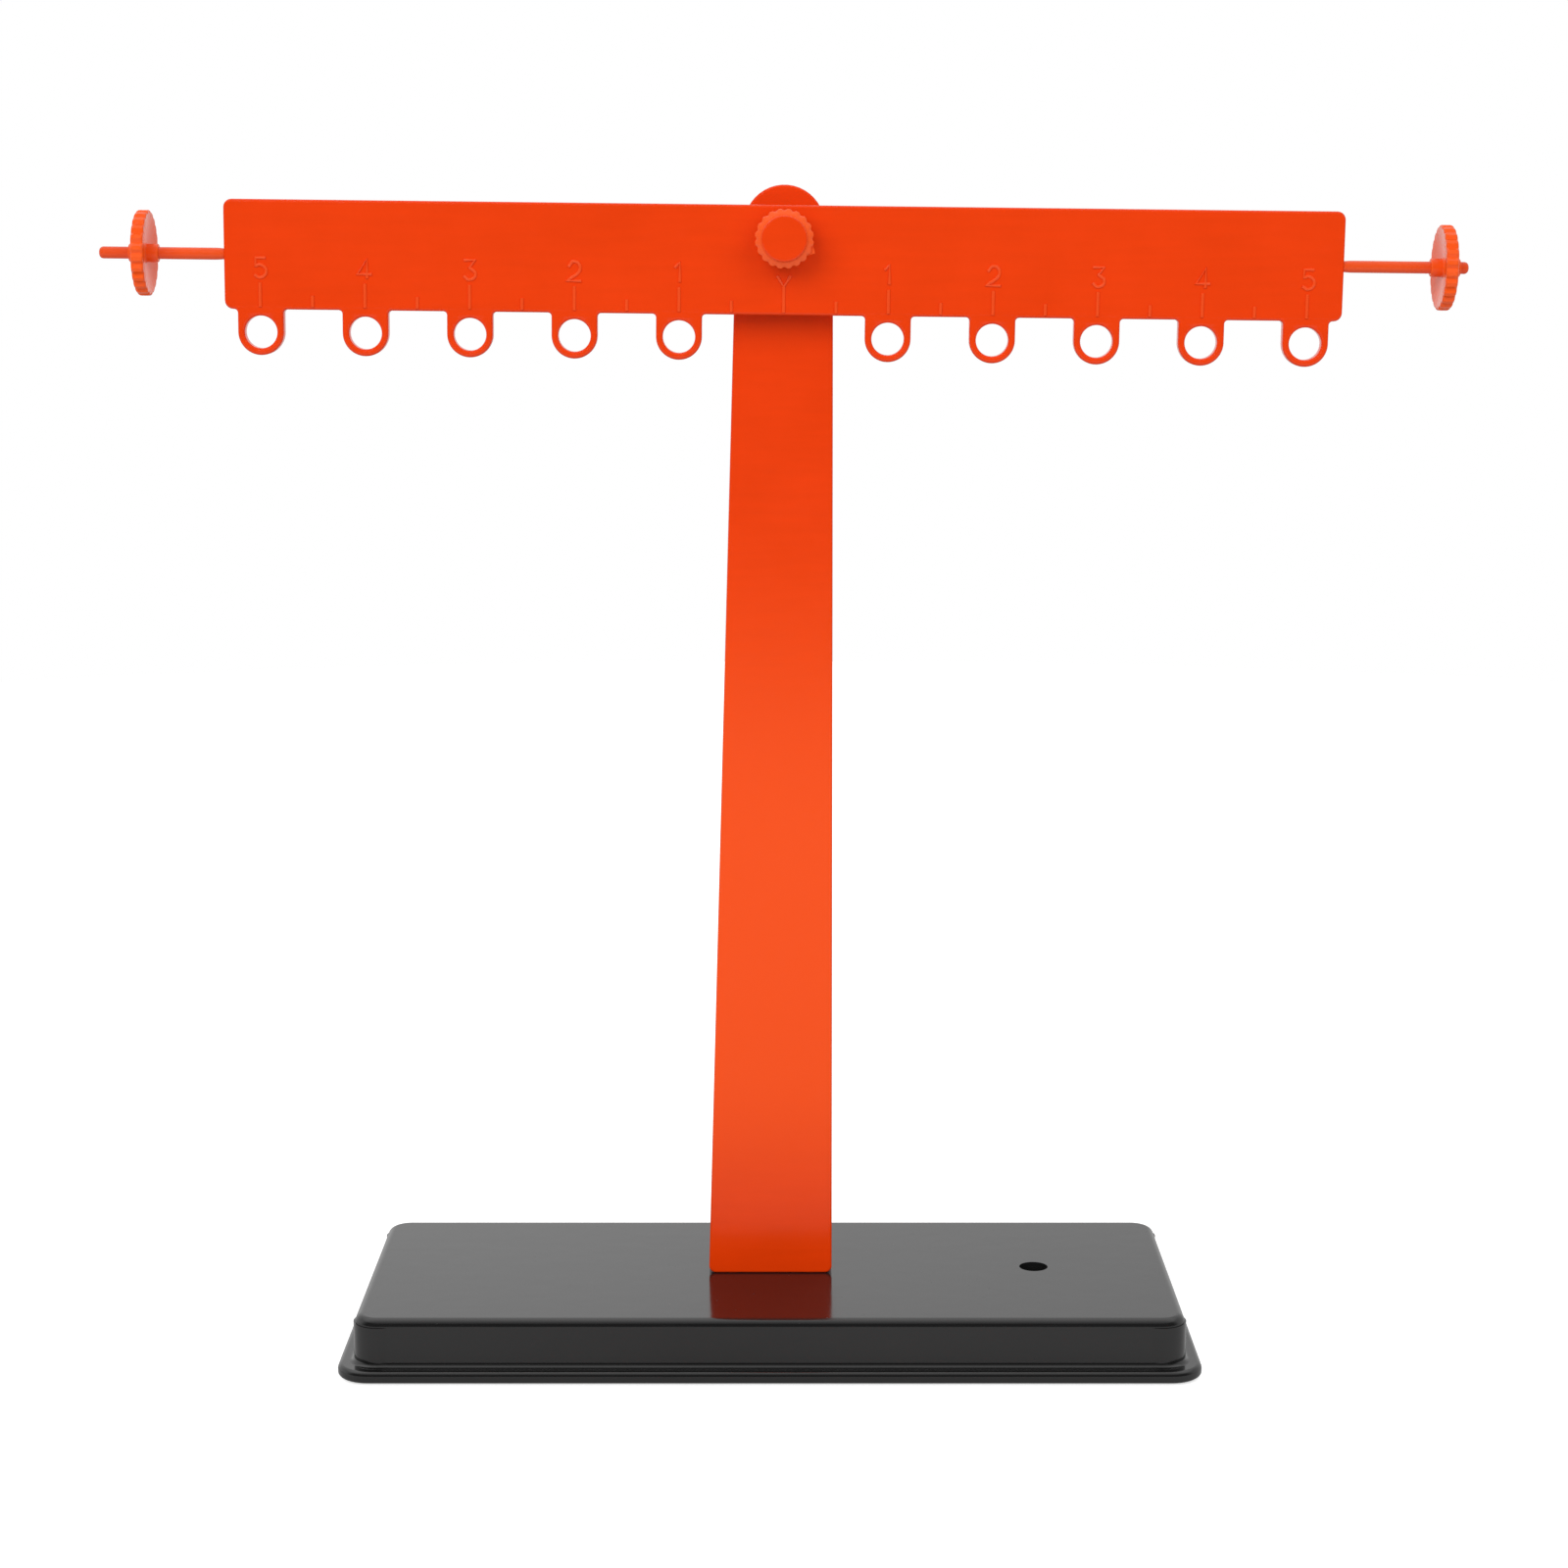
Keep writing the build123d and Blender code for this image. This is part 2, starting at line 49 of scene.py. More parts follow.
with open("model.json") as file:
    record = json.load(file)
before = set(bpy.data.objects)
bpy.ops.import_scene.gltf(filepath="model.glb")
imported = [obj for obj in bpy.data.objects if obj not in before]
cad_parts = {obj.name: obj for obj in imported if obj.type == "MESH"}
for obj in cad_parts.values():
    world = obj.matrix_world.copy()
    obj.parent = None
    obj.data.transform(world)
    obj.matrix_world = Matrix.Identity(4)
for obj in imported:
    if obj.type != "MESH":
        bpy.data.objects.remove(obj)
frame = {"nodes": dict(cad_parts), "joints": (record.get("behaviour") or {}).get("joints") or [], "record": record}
construction_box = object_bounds()

bl_info = {
    "name": "Lever Balance",
    "version": (1, 0, 0),
    "blender": (4, 5, 0),
    "location": "3D View > Sidebar > Lever Balance",
    "description": "Models and finishes a classroom lever balance around its packed frame",
    "category": "Object",
}

MM = 0.001
JOINTS = {joint["name"]: joint for joint in frame["joints"]}
MOUNTS = {mount["name"]: mount for mount in frame["record"]["mounts"]}
RINGS_PER_SIDE = sum(name.startswith("ring_right") for name in MOUNTS)
SHARP_TURN = radians(32)
SAME_POINT = 0.001 * MM
# Straight steps that stand for a rounding or a full circle
ROUNDING_STEPS = 6
EDGE_ROUND_STEPS = 2
PLATE_CORNER_STEPS = 5
RING_ROOT_STEPS = 4
RING_TIP_STEPS = 14
RING_HOLE_STEPS = 48
AXLE_HOLE_STEPS = 32
ROD_STEPS = 32
STROKE_STEPS = 8


# Places read from the frame

def beam_tilt():
    """Turn of the resting beam about +Y, from the way that its right-hand nut slides."""
    along = JOINTS["right_nut_slide"]["axis"]
    return atan2(-along[2], along[0])


def beam_place():
    """From the level beam, with its pivot at zero in X and Z, to the resting one."""
    pivot = JOINTS["beam_swing"]["pos_m"]
    return Matrix.Translation((pivot[0], 0, pivot[2])) @ Matrix.Rotation(beam_tilt(), 4, "Y")


def level_box(node):
    """Lowest and highest corner of a node of the beam, with the beam turned level."""
    back = beam_place().inverted()
    points = [back @ vertex.co for vertex in frame["nodes"][node].data.vertices]
    corners = [[pick(point[axis] for point in points) for axis in range(3)] for pick in (min, max)]
    return Vector(corners[0]), Vector(corners[1])


def ring_centres():
    """X and Z of every ring's centre on the level beam."""
    back = beam_place().inverted()
    places = [back @ Vector(mount["pos_m"]) for name, mount in MOUNTS.items() if name.startswith("ring_")]
    return sorted((place.x, place.z) for place in places)


# What a user would change

def length(name, description, default):
    """A length property in metres."""
    return bpy.props.FloatProperty(
        name=name, description=description, default=default, min=0.0, precision=5,
        subtype="DISTANCE", unit="LENGTH",
    )


def angle(name, description, degrees):
    """An angle property, with its default in degrees."""
    return bpy.props.FloatProperty(
        name=name, description=description, default=radians(degrees), subtype="ANGLE", unit="ROTATION"
    )


def colour(name, description, default):
    """A colour property."""
    return bpy.props.FloatVectorProperty(
        name=name, description=description, default=default, size=3, min=0.0, max=1.0, subtype="COLOR"
    )


def share(name, description, default, most=1.0):
    """A property without a unit."""
    return bpy.props.FloatProperty(name=name, description=description, default=default, min=0.0, max=most)


def watts(name, description, default):
    """The power of a lamp."""
    return bpy.props.FloatProperty(
        name=name, description=description, default=default, min=0.0, unit="POWER"
    )


class LeverBalanceBeamSizes(bpy.types.PropertyGroup):
    """Sizes of the beam moulding."""

    end_margin: length("End margin", "From the last ring's centre to the plate's end", 6.85 * MM)
    above_pivot: length("Above pivot", "From the pivot up to the plate's top edge", 6.3 * MM)
    below_pivot: length("Below pivot", "From the pivot down to the plate's bottom edge", 14.45 * MM)
    corner: length("Corner", "Rounding of the plate's corners", 1.6 * MM)
    edge_round: length("Edge round", "Rounding all along the plate's edges", 0.5 * MM)
    ring_outer: length("Ring outer radius", "Outer radius of a hanging ring", 4.4 * MM)
    ring_root: length("Ring root", "Rounding where a ring joins the plate", 0.7 * MM)
    axle_hole: length("Axle hole radius", "Radius of the pivot's hole", 2.05 * MM)
    rod_radius: length("Rod radius", "Radius of an end rod", 1.15 * MM)
    rod_root: length("Rod root", "Flare where a rod leaves the plate", 1.3 * MM)
    rod_tip: length("Rod tip", "Rounding of a rod's tip", 0.8 * MM)
    rod_sunk: length("Rod sunk", "How deep a rod starts inside the plate", 1.0 * MM)
    stroke: length("Stroke", "Width of the raised strokes", 0.7 * MM)
    relief: length("Relief", "Height of the raised strokes", 0.3 * MM)
    tick: length("Tick", "Length of the line over each ring", 4.6 * MM)
    half_tick: length("Half tick", "Length of the short lines between rings", 2.2 * MM)
    fork_stem: length("Fork stem", "Length of the middle mark's stem", 4.9 * MM)
    fork_arm: length("Fork arm", "Length of the middle mark's two arms", 2.4 * MM)
    fork_lean: angle("Fork lean", "Lean of those arms from upright", 32)
    numeral_width: length("Numeral width", "Width of a numeral", 2.7 * MM)
    numeral_height: length("Numeral height", "Height of a numeral", 3.7 * MM)
    numeral_gap: length("Numeral gap", "From a tick's top to the numeral over it", 0.95 * MM)


class LeverBalanceKnobSizes(bpy.types.PropertyGroup):
    """Sizes of the thumb knob in front of the pivot."""

    teeth: bpy.props.IntProperty(name="Teeth", description="Teeth round the rim", default=20, min=6)
    tooth_depth: length("Tooth depth", "Depth of the serration", 0.32 * MM)
    tooth_band: length("Tooth band", "How far in from the rim the serration fades out", 0.6 * MM)
    collar_radius: length("Collar radius", "Radius of the collar behind the rim", 4.2 * MM)
    collar_length: length("Collar length", "Length of that collar", 1.4 * MM)
    rim_thickness: length("Rim thickness", "Thickness of the serrated rim", 3.8 * MM)
    rim_bevel: length("Rim bevel", "Width of the sloping band between the teeth and the cap", 1.05 * MM)
    rim_slope: length("Rim slope", "How far that band falls back", 0.6 * MM)
    rim_back_round: length("Rim back round", "Rounding of the rim's back", 0.4 * MM)
    cap_radius: length("Cap radius", "Radius of the smooth cap", 4.35 * MM)
    cap_round: length("Cap round", "Rounding of the cap's edge", 0.4 * MM)
    cap_dish: length("Cap dish", "How much the cap's face is drawn in by cooling", 0.12 * MM)
    insert_gap: length("Insert gap", "Clearance round the brass insert", 0.05 * MM)
    axle_hole: length("Axle hole radius", "Radius of the hole past the insert", 2.15 * MM)
    axle_room: length("Axle room", "Depth of that hole past the insert", 0.5 * MM)
    small_round: length("Small round", "Rounding of the collar's and the cap's other edges", 0.12 * MM)
    gate_reach: length("Gate reach", "How far the moulding gate's tip stands out of the rim", 0.8 * MM)
    gate_thickness: length("Gate thickness", "Thickness of the gate", 1.3 * MM)
    gate_top: angle("Gate top", "Where the gate's upper side leaves the rim", -6)
    gate_tip: angle("Gate tip", "Where the gate's tip points", -25)
    gate_bottom: angle("Gate bottom", "Where the gate's lower side leaves the rim", -38)


class LeverBalanceNutSizes(bpy.types.PropertyGroup):
    """Sizes of the two balance nuts."""

    teeth: bpy.props.IntProperty(name="Teeth", description="Teeth round the rim", default=24, min=6)
    tooth_depth: length("Tooth depth", "Depth of the serration", 0.45 * MM)
    tooth_band: length("Tooth band", "How far in from the rim the serration fades out", 1.2 * MM)
    thickness: length("Thickness", "Thickness of the dished disc", 2.4 * MM)
    dish: length("Dish", "How far the rim lies behind the middle", 1.05 * MM)
    rim_round: length("Rim round", "Rounding of the rim", 0.6 * MM)
    hub_radius: length("Hub radius", "Radius of the hub", 1.75 * MM)
    hub_outer: length("Hub outer", "From the disc's middle to the hub's outer end", 1.9 * MM)
    hub_root: length("Hub root", "Rounding between hub and disc", 0.5 * MM)
    hub_edge: length("Hub edge", "Rounding of the hub's ends", 0.3 * MM)
    bore_gap: length("Bore gap", "Clearance round the rod", 0.05 * MM)


class LeverBalanceColours(bpy.types.PropertyGroup):
    """Colours and gloss of the finishes, with paler copies of the orange that paint light and highlights on some
    parts.
    """

    orange: colour("Orange plastic", "Colour of the beam and of the post's two ends", (0.86, 0.05, 0.0015))
    # Painted light: an orange lit more brightly, for the post's middle, which renders paler there.
    painted_light_orange: colour("Pale orange", "Colour of the post's middle", (0.97, 0.08, 0.003))
    # Painted light: this paler copy of the orange makes the nuts render as if more brightly lit; it is not the
    # colour of another batch.
    nut_orange: colour("Nut plastic", "Colour of the nuts' paler batch", (0.96, 0.105, 0.01))
    # Painted highlight: a paler, whiter copy of the orange, so the thin end rods render as if a soft highlight lay
    # along them.
    rod_orange: colour("Rod orange", "Colour of the beam's thin end rods", (0.84, 0.085, 0.012))
    # Painted highlight: the raised marks' tops are paler, as if catching light, rather than rubbed.
    mark_highlight_orange: colour("Mark orange", "Colour of the raised marks' rubbed tops", (0.91, 0.088, 0.016))
    # Painted sheen: the knob's band and teeth are paler than its cap, as if their slopes caught light, rather than
    # rubbed.
    tooth_sheen_orange: colour("Tooth orange", "Colour of the knob's rubbed teeth", (0.96, 0.11, 0.02))
    black: colour("Black plastic", "Colour of the tray", (0.01, 0.01, 0.01))
    zinc: colour("Zinc plate", "Colour of the plated screws and washers", (0.62, 0.63, 0.65))
    brass: colour("Brass", "Colour of the knob's insert", (0.66, 0.42, 0.15))
    rubber: colour("Rubber", "Colour of the foot pads", (0.02, 0.02, 0.02))
    orange_roughness: share("Orange roughness", "Roughness of the orange mouldings", 0.16)
    black_roughness: share("Black roughness", "Roughness of the tray", 0.1)


# In millimetres, as a camera's data has it
SENSOR_WIDTH = 36
TABLE_SEGMENTS = 96
# What a mirror sees of the surroundings changes where a direction's Y, X and Z lie between these values
MIRROR_BACK = (-0.55, 0.1)
MIRROR_RIGHT = (-0.15, 0.2)
MIRROR_TOP = (0.6, 0.85)


class LeverBalanceStudio(bpy.types.PropertyGroup):
    """Camera, floor and light."""

    eye: bpy.props.FloatVectorProperty(
        name="Eye", description="Where the camera stands", default=(-0.07 * MM, -622.9 * MM, 223.16 * MM),
        size=3, subtype="TRANSLATION", unit="LENGTH"
    )
    pitch: angle("Pitch", "How far the camera looks down", 10.037)
    lens: bpy.props.FloatProperty(
        name="Lens", description="Focal length on a 36 mm sensor", default=72.93, unit="CAMERA"
    )
    floor_radius: length("Floor radius", "Radius of the table top", 1.0)
    floor_grey: share("Floor grey", "Grey of the table top", 0.68)
    floor_glow: share("Floor glow", "What camera rays see on top of it", 0.76)
    glow_inset: length("Glow inset", "How far under the tray's edge that glow fades out", 6 * MM)
    mirrored_glow: share("Mirrored glow", "Share of that glow that mirror rays see", 0.1)
    ambient: share("Ambient", "Strength of the even light from all round", 0.42, 4.0)
    front_mirror: share("Front mirror", "What a mirror turned to the front sees", 0.03)
    mirror_slope: share("Mirror slope", "How much darker a mirror turned to the right is", 0.17)
    top_glow: share("Top glow", "What a mirror sees overhead on top of the rest", 0.6, 10.0)
    key_watts: watts("Key power", "Power of the lamp at the upper left", 25.0)
    key_turn: angle("Key turn", "Where it stands, from the front towards the right", -30)
    key_rise: angle("Key rise", "How high it stands", 31)
    key_away: length("Key distance", "How far it stands from the object", 2.2)
    key_size: length("Key size", "Side of the lamp", 1.6)
    fill_watts: watts("Fill power", "Power of the lamp at the upper right", 13.0)
    fill_turn: angle("Fill turn", "Where it stands, from the front towards the right", 40)
    fill_rise: angle("Fill rise", "How high it stands", 30)
    fill_away: length("Fill distance", "How far it stands from the object", 2.2)
    fill_size: length("Fill size", "Side of the lamp", 1.6)
    back_watts: watts("Back power", "Power of the lamp behind the object", 14.0)
    back_turn: angle("Back turn", "Where it stands, from the front towards the right", 165)
    back_rise: angle("Back rise", "How high it stands", 35)
    back_away: length("Back distance", "How far it stands from the object", 2.2)
    back_size: length("Back size", "Side of the lamp", 1.6)


# Strokes of the numerals: points in shares of the width from the middle and of the height
# from the foot, each with True where the stroke runs round through it
NUMERAL_SHARES = {
    1: [[(-0.3, 0.74, False), (0.05, 1, False), (0.05, 0, False)]],
    2: [[(-0.42, 0.72, True), (0, 1, True), (0.42, 0.7, True), (-0.5, 0, False), (0.5, 0, False)]],
    3: [[(-0.4, 1, False), (0.4, 1, False), (0, 0.62, False), (0.43, 0.3, True), (0.02, 0, True),
         (-0.4, 0.2, True)]],
    4: [[(0.17, 0, False), (0.17, 1, False), (-0.5, 0.22, False), (0.5, 0.22, False)]],
    5: [[(0.42, 1, False), (-0.28, 1, False), (-0.3, 0.59, False), (0.1, 0.65, True), (0.46, 0.33, True),
         (0.06, 0, True), (-0.38, 0.14, True)]],
}


# Shader maths

class Value:
    """A socket of a node tree. Arithmetic adds Math nodes to the tree, and node() adds any other node."""

    def __init__(self, tree, socket):
        self.tree = tree
        self.socket = socket

    def node(self, kind, settings, sockets, output=0):
        """Adds a node: its settings first, then the values or links of its sockets."""
        made = self.tree.nodes.new(kind)
        for key, value in settings.items():
            if key == "stops":
                for _ in value[2:]:
                    made.color_ramp.elements.new(0.5)
                for element, (place, grey) in zip(made.color_ramp.elements, value):
                    element.position = place
                    element.color = (grey, grey, grey, 1)
            else:
                setattr(made, key, value)
        for key, value in sockets.items():
            if isinstance(value, Value):
                self.tree.links.new(value.socket, made.inputs[key])
            else:
                made.inputs[key].default_value = value
        return Value(self.tree, made.outputs[output])

    def math(self, operation, first, second):
        """Adds a Math node on two numbers."""
        return self.node("ShaderNodeMath", {"operation": operation}, {0: first, 1: second})

    def vector_math(self, operation, *others, output="Vector"):
        """Adds a Vector Math node on this vector and others."""
        sockets = dict(enumerate((self, *others)))
        return self.node("ShaderNodeVectorMath", {"operation": operation}, sockets, output)

    def __add__(self, other):
        return self.math("ADD", self, other)

    __radd__ = __add__

    def __sub__(self, other):
        return self.math("SUBTRACT", self, other)

    def __rsub__(self, other):
        return self.math("SUBTRACT", other, self)

    def __mul__(self, other):
        return self.math("MULTIPLY", self, other)

    __rmul__ = __mul__

    def steps(self, *stops):
        """A ramp of greys, at places from 0 to 1."""
        return self.node("ShaderNodeValToRGB", {"stops": stops}, {0: self})

    def between(self, low, high):
        """0 at one value and 1 at another, smooth between them."""
        sockets = {"Value": self, "From Min": low, "From Max": high}
        return self.node("ShaderNodeMapRange", {"interpolation_type": "SMOOTHSTEP"}, sockets)

    def tint(self, dark, light):
        """A mix of two colours or of Values that hold one, from the first at 0 to the second at 1."""
        dark, light = (rgb if isinstance(rgb, Value) else (*rgb, 1) for rgb in (dark, light))
        sockets = {"Factor": self, "A": dark, "B": light}
        return self.node("ShaderNodeMix", {"data_type": "RGBA"}, sockets, "Result")

    def along(self, axis):
        """One coordinate of a vector, for the axis X, Y or Z."""
        return self.node("ShaderNodeSeparateXYZ", {}, {"Vector": self}, axis)


def new_finish(name):
    """A new material, its shader and its object coordinates."""
    material = bpy.data.materials.new(name)
    material.use_nodes = True
    tree = material.node_tree
    place = Value(tree, tree.nodes.new("ShaderNodeTexCoord").outputs["Object"])
    return material, tree.nodes["Principled BSDF"], place


def noise(place, grain, stretch=(1, 1, 1), detail=3.0):
    """Noise with a grain of that size in metres, drawn out along the axes by the stretch."""
    scales = tuple(1 / (grain * factor) for factor in stretch)
    place = place.node("ShaderNodeMapping", {}, {"Vector": place, "Scale": scales})
    return place.node("ShaderNodeTexNoise", {}, {"Vector": place, "Scale": 1.0, "Detail": detail})


def specks(place, spacing, size_share):
    """Scattered specks: 1 on a speck and 0 between."""
    place = place.node("ShaderNodeMapping", {}, {"Vector": place, "Scale": (1 / spacing,) * 3})
    distance = place.node("ShaderNodeTexVoronoi", {}, {"Vector": place, "Scale": 1.0})
    return 1 - distance.between(size_share * 0.6, size_share)


def bump(height, depth):
    """A normal from a height of 0 to 1 over that depth in metres."""
    return height.node("ShaderNodeBump", {}, {"Strength": 1.0, "Distance": depth, "Height": height})


def sum_of_rays(rays, *names):
    """1 for rays of these kinds, and 0 for others."""
    outputs = rays.socket.node.outputs
    total = Value(rays.tree, outputs[names[0]])
    for name in names[1:]:
        total = total + Value(rays.tree, outputs[name])
    return total


def connect(shader, **values):
    """Sets or links the shader's sockets, named with _ for a space."""
    for key, value in values.items():
        socket = shader.inputs[key.replace("_", " ")]
        if isinstance(value, Value):
            value.tree.links.new(value.socket, socket)
        else:
            socket.default_value = value


def scaled(rgb, factor):
    """A colour made darker or paler."""
    return tuple(min(1.0, channel * factor) for channel in rgb)


def orange_finish(name, rgb, roughness, painted_light_rgb=None, mask=None):
    """Glossy orange moulding: cloudy colour, flow lines, scuffs, and a paler colour where a mask says, which
    paints light and highlights.
    """
    material, shader, place = new_finish(name)
    clouds = noise(place, 14 * MM)
    flow = noise(place, 1.6 * MM, (9, 1, 1), 4.0)
    scuffs = noise(place, 0.22 * MM, (14, 1, 3), 2.0).between(0.62, 0.74)
    shade = clouds * 0.6 + flow * 0.4
    base = shade.steps((0.32, 0.0), (0.68, 1.0)).tint(scaled(rgb, 0.96), scaled(rgb, 1.04))
    if mask is not None:
        # Painted light and highlights: the paler colour where the mask says.
        base = mask(place).tint(base, painted_light_rgb)
    peel = noise(place, 0.9 * MM, detail=1.0)
    sink = noise(place, 22 * MM, detail=1.0)
    height = sink * 0.5 + peel * 0.08 + scuffs * 0.02
    connect(
        shader,
        Base_Color=base,
        Roughness=roughness + clouds * 0.06 + scuffs * 0.05,
        Specular_IOR_Level=0.3,
        Normal=bump(height, 0.1 * MM),
    )
    return material


# How far out of the face, and out of a radius, the painted highlights on the marks and on the knob's band fade in,
# and how strong the one on the marks is
MARK_HIGHLIGHT_FADE = (0.04 * MM, 0.2 * MM)
MARK_HIGHLIGHT_STRENGTH = 0.8
RIM_SHEEN_FADE = 0.1 * MM
# Shares of the post's height between which the painted light on its middle fades in and out
PAINTED_LIGHT_IN_SHARES = (0, 0.2)
PAINTED_LIGHT_OUT_SHARES = (0.4, 0.75)


def painted_mark_highlight(face):
    """Painted highlight: a mask that is strong on what stands out of a face towards the front, so the raised marks
    render paler, as if catching light.
    """
    def mask(place):
        return (face - place.along("Y")).between(*MARK_HIGHLIGHT_FADE) * MARK_HIGHLIGHT_STRENGTH
    return mask


def painted_rim_sheen(middle, radius):
    """Painted sheen: a mask that is 1 further from an axis along Y than a radius, so the knob's sloping band and
    teeth render paler than the cap, as if catching light.
    """
    def mask(place):
        across = place.vector_math("SUBTRACT", middle).vector_math("MULTIPLY", (1, 0, 1))
        return across.vector_math("LENGTH", output="Value").between(radius, radius + RIM_SHEEN_FADE)
    return mask


def painted_light_middle(foot, top):
    """Painted light: a mask that fades in above the post's foot and out again below its head, so the post's middle
    renders paler, as if more brightly lit.
    """
    fade_in, fade_out = (
        [foot + (top - foot) * height_share for height_share in shares]
        for shares in (PAINTED_LIGHT_IN_SHARES, PAINTED_LIGHT_OUT_SHARES)
    )

    def mask(place):
        up = place.along("Z")
        return up.between(*fade_in) * (1 - up.between(*fade_out))
    return mask


def under(place, low, high, inset):
    """1 on the table under a box and 0 elsewhere, smooth over an inset from the box's sides."""
    covered = 1
    for index, axis in enumerate("XY"):
        along = place.along(axis)
        past_low = along.between(low[index], low[index] + inset)
        covered = covered * past_low * (1 - along.between(high[index] - inset, high[index]))
    return covered


def black_finish(colours):
    """Polished black tray: faint wiping marks, dust, and a slight haze that varies."""
    material, shader, place = new_finish("polished_black_plastic")
    haze = noise(place, 25 * MM, (2, 1, 1))
    wipes = noise(place, 0.35 * MM, (40, 1, 1), 2.0).between(0.6, 0.75)
    dust = specks(place, 3.2 * MM, 0.06)
    grime = haze * 0.35 + wipes * 0.15 + dust * 0.5
    peel = noise(place, 6 * MM, detail=1.0)
    connect(
        shader,
        Base_Color=grime.tint(scaled(colours.black, 0.8), scaled(colours.black, 2.2)),
        Roughness=colours.black_roughness + haze * 0.05 + wipes * 0.05 + dust * 0.3,
        Specular_IOR_Level=0.5,
        Normal=bump(peel, 0.02 * MM),
    )
    return material


def zinc_finish(colours):
    """Zinc-plated steel: fine turning lines, cloudy plating and a few dull spots."""
    material, shader, place = new_finish("zinc_plated_steel")
    plating = noise(place, 1.8 * MM)
    lines = noise(place, 0.09 * MM, (1, 1, 8), 2.0)
    spots = specks(place, 1.1 * MM, 0.16)
    connect(
        shader,
        Base_Color=plating.tint(scaled(colours.zinc, 0.82), scaled(colours.zinc, 1.12)),
        Metallic=1.0,
        Roughness=0.22 + plating * 0.14 + lines * 0.08 + spots * 0.2,
        Normal=bump(lines * 0.5 + spots * 0.3, 0.02 * MM),
    )
    return material


def brass_finish(colours):
    """Turned brass: rings from the tool and slight tarnish."""
    material, shader, place = new_finish("turned_brass")
    tarnish = noise(place, 1.5 * MM)
    rings = noise(place, 0.12 * MM, (8, 1, 8), 2.0)
    connect(
        shader,
        Base_Color=tarnish.tint(scaled(colours.brass, 0.7), scaled(colours.brass, 1.1)),
        Metallic=1.0,
        Roughness=0.25 + tarnish * 0.2 + rings * 0.08,
        Normal=bump(rings, 0.01 * MM),
    )
    return material


def rubber_finish(colours):
    """Soft black pads: matt, with a fine grain and a little dust."""
    material, shader, place = new_finish("foot_rubber")
    grain = noise(place, 0.25 * MM)
    dust = noise(place, 2.5 * MM).between(0.5, 0.8)
    soiling = dust * 0.6 + grain * 0.4
    connect(
        shader,
        Base_Color=soiling.tint(scaled(colours.rubber, 0.7), scaled(colours.rubber, 3.0)),
        Roughness=0.7 + grain * 0.2,
        Normal=bump(grain, 0.03 * MM),
    )
    return material


# Mesh work

def piece(name, bm, body, slot, material, *replaced):
    """Makes the finished object from a bmesh that is in place, and puts it on its body."""
    mesh = bpy.data.meshes.new(name)
    bm.to_mesh(mesh)
    bm.free()
    return mesh_piece(name, mesh, body, slot, material, *replaced)


def mesh_piece(name, mesh, body, slot, material, *replaced):
    """The same, from a finished mesh."""
    if not mesh.polygons:
        raise RuntimeError(f"{name} has no faces")
    mesh.shade_smooth()
    mesh.set_sharp_from_angle(angle=SHARP_TURN)
    mesh.materials.clear()
    mesh.materials.append(material)
    made = bpy.data.objects.new(name, mesh)
    bpy.context.scene.collection.objects.link(made)
    made.modifiers.new("even_normals", "WEIGHTED_NORMAL").keep_sharp = True
    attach(made, body)
    if replaced:
        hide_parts(*replaced)
    return made


def dress(nodes, material):
    """Gives nodes of the frame their finish."""
    for node in nodes:
        mesh = frame["nodes"][node].data
        mesh.materials.clear()
        mesh.materials.append(material)


def round_corners(bm, vertices, radius, segments=ROUNDING_STEPS):
    """Rounds corners of a flat outline."""
    bmesh.ops.bevel(
        bm, geom=vertices, offset=radius, offset_type="OFFSET", segments=segments, profile=0.5,
        affect="VERTICES", material=-1,
    )


def turned(corners, steps):
    """A body turned about X. A corner of its half section has a place along X, a radius and a rounding."""
    bm = bmesh.new()
    vertices = [bm.verts.new((along, radius, 0)) for along, radius, _ in corners]
    bm.faces.new(vertices)
    for vertex, (_, _, rounding) in zip(vertices, corners):
        if rounding:
            round_corners(bm, [vertex], rounding)
    bmesh.ops.delete(bm, geom=bm.faces[:], context="FACES_ONLY")
    on_axis = [edge for edge in bm.edges if all(vertex.co.y < SAME_POINT for vertex in edge.verts)]
    bmesh.ops.delete(bm, geom=on_axis, context="EDGES")
    bmesh.ops.spin(
        bm, geom=bm.verts[:] + bm.edges[:], cent=(0, 0, 0), axis=(1, 0, 0), dvec=(0, 0, 0),
        angle=2 * pi, steps=steps, use_merge=True, use_duplicate=False,
    )
    bmesh.ops.remove_doubles(bm, verts=bm.verts[:], dist=SAME_POINT)
    bmesh.ops.recalc_face_normals(bm, faces=bm.faces[:])
    return bm


# Steps from one groove between teeth to the next, and the share of the depth at the steps that are drawn in
TOOTH_STEPS = 6
GROOVE_SHARES = {0: 1.0, 1: 0.6, TOOTH_STEPS - 1: 0.6}


def serrate(bm, teeth, depth, band):
    """Draws the rim of a body turned about X in between its teeth, less and less over a band inwards."""
    rim_radius = max(hypot(vertex.co.y, vertex.co.z) for vertex in bm.verts)
    for vertex in bm.verts:
        radius = hypot(vertex.co.y, vertex.co.z)
        reach_share = (radius - rim_radius + band) / band
        if reach_share > 0:
            step = round(atan2(vertex.co.z, vertex.co.y) / (2 * pi) * teeth * TOOTH_STEPS) % TOOTH_STEPS
            factor = 1 - GROOVE_SHARES.get(step, 0) * reach_share * depth / radius
            vertex.co.yz = vertex.co.yz * factor


# Pieces

